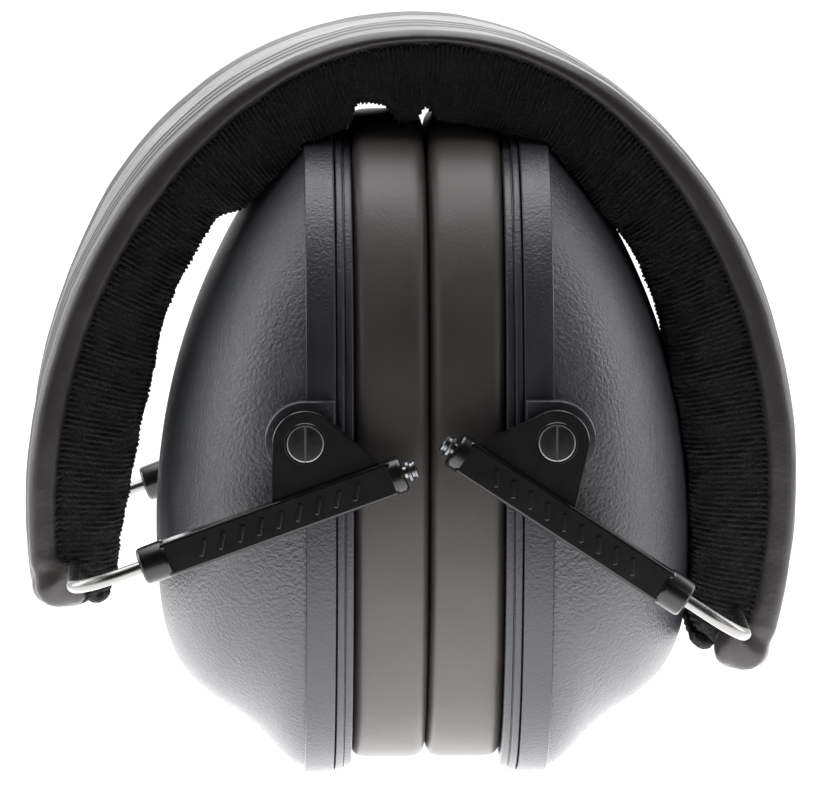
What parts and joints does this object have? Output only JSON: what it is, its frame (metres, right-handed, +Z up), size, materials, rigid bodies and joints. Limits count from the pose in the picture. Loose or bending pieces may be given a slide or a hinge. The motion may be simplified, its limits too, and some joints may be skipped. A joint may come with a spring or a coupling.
{
  "type": "folding earmuff hearing protector",
  "caption": "Folded pair of low-profile ear cups with soft cushions on a padded sprung headband, held by steel wires and slider arms.",
  "frame": {"origin": "under the middle of the folded object, at the height of the cups' lowest points", "axes": "+X to the object's right as seen from the front, +Y through the headband's width towards the back, +Z up to the headband's crown"},
  "size_m": [0.119, 0.0954, 0.1181],
  "materials": {
    "vinyl": "satin grained vinyl",
    "knit": "ribbed terry knit",
    "foam": "open cell foam",
    "damping_foam": "open cell foam",
    "spring_steel": "brushed",
    "bright_wire": "bright drawn wire",
    "dark_steel": "dark nickel",
    "pin_metal": "satin black with a bright edge",
    "moulded_plastic": "satin moulded",
    "cup_plastic": "fine spark-eroded texture",
    "cushion_vinyl": "smooth soft vinyl"
  },
  "bodies": {
    "headband": {"headband_cover": "vinyl", "headband_foam": "foam", "headband_spring": "spring_steel", "headband_liner": "knit", "left_hinge_block": "moulded_plastic", "left_hinge_rivets": "spring_steel", "right_hinge_block": "moulded_plastic", "right_hinge_rivets": "spring_steel"},
    "left_wire_yoke": {"left_wire": "bright_wire", "left_wire_stops": "dark_steel"},
    "left_arms": {"left_front_arm": "moulded_plastic", "left_rear_arm": "moulded_plastic"},
    "left_cup": {"left_front_pin": "pin_metal", "left_rear_pin": "pin_metal", "left_cup_shell": "cup_plastic", "left_cushion_plate": "moulded_plastic", "left_cushion_skin": "cushion_vinyl", "left_cushion_foam": "foam", "left_damping_foam": "damping_foam"},
    "right_wire_yoke": {"right_wire": "bright_wire", "right_wire_stops": "dark_steel"},
    "right_arms": {"right_front_arm": "moulded_plastic", "right_rear_arm": "moulded_plastic"},
    "right_cup": {"right_front_pin": "pin_metal", "right_rear_pin": "pin_metal", "right_cup_shell": "cup_plastic", "right_cushion_plate": "moulded_plastic", "right_cushion_skin": "cushion_vinyl", "right_cushion_foam": "foam", "right_damping_foam": "damping_foam"}
  },
  "joints": [
    {"name": "left_fold", "type": "hinge", "parent": "headband", "child": "left_wire_yoke", "pos_m": [-0.05239, 0, 0.03495], "axis": [0, 1, 0], "range_deg": [0, 88], "deforming": ["left_cushion_skin", "left_cushion_foam"]},
    {"name": "left_slide", "type": "slide", "parent": "left_wire_yoke", "child": "left_arms", "axis": [-0.9411, 0, -0.3382], "range_m": [0, 0.004], "deforming": ["headband_foam", "headband_liner"]},
    {"name": "left_cup_turn", "type": "hinge", "parent": "left_arms", "child": "left_cup", "pos_m": [-0.017, 0, 0.0576], "axis": [0, 1, 0], "range_deg": [-90, 2]},
    {"name": "right_fold", "type": "hinge", "parent": "headband", "child": "right_wire_yoke", "pos_m": [0.05031, 0, 0.02713], "axis": [0, -1, 0], "range_deg": [0, 96], "deforming": ["right_cushion_skin", "right_cushion_foam"]},
    {"name": "right_slide", "type": "slide", "parent": "right_wire_yoke", "child": "right_arms", "axis": [0.8341, 0, -0.5517], "range_m": [0, 0.004]},
    {"name": "right_cup_turn", "type": "hinge", "parent": "right_arms", "child": "right_cup", "pos_m": [0.0212, 0, 0.0576], "axis": [0, -1, 0], "range_deg": [-98, 2]}
  ],
  "couplings": [
    {"joint": "left_cup_turn", "follows": "left_fold", "ratio": -1},
    {"joint": "right_cup_turn", "follows": "right_fold", "ratio": -1}
  ]
}
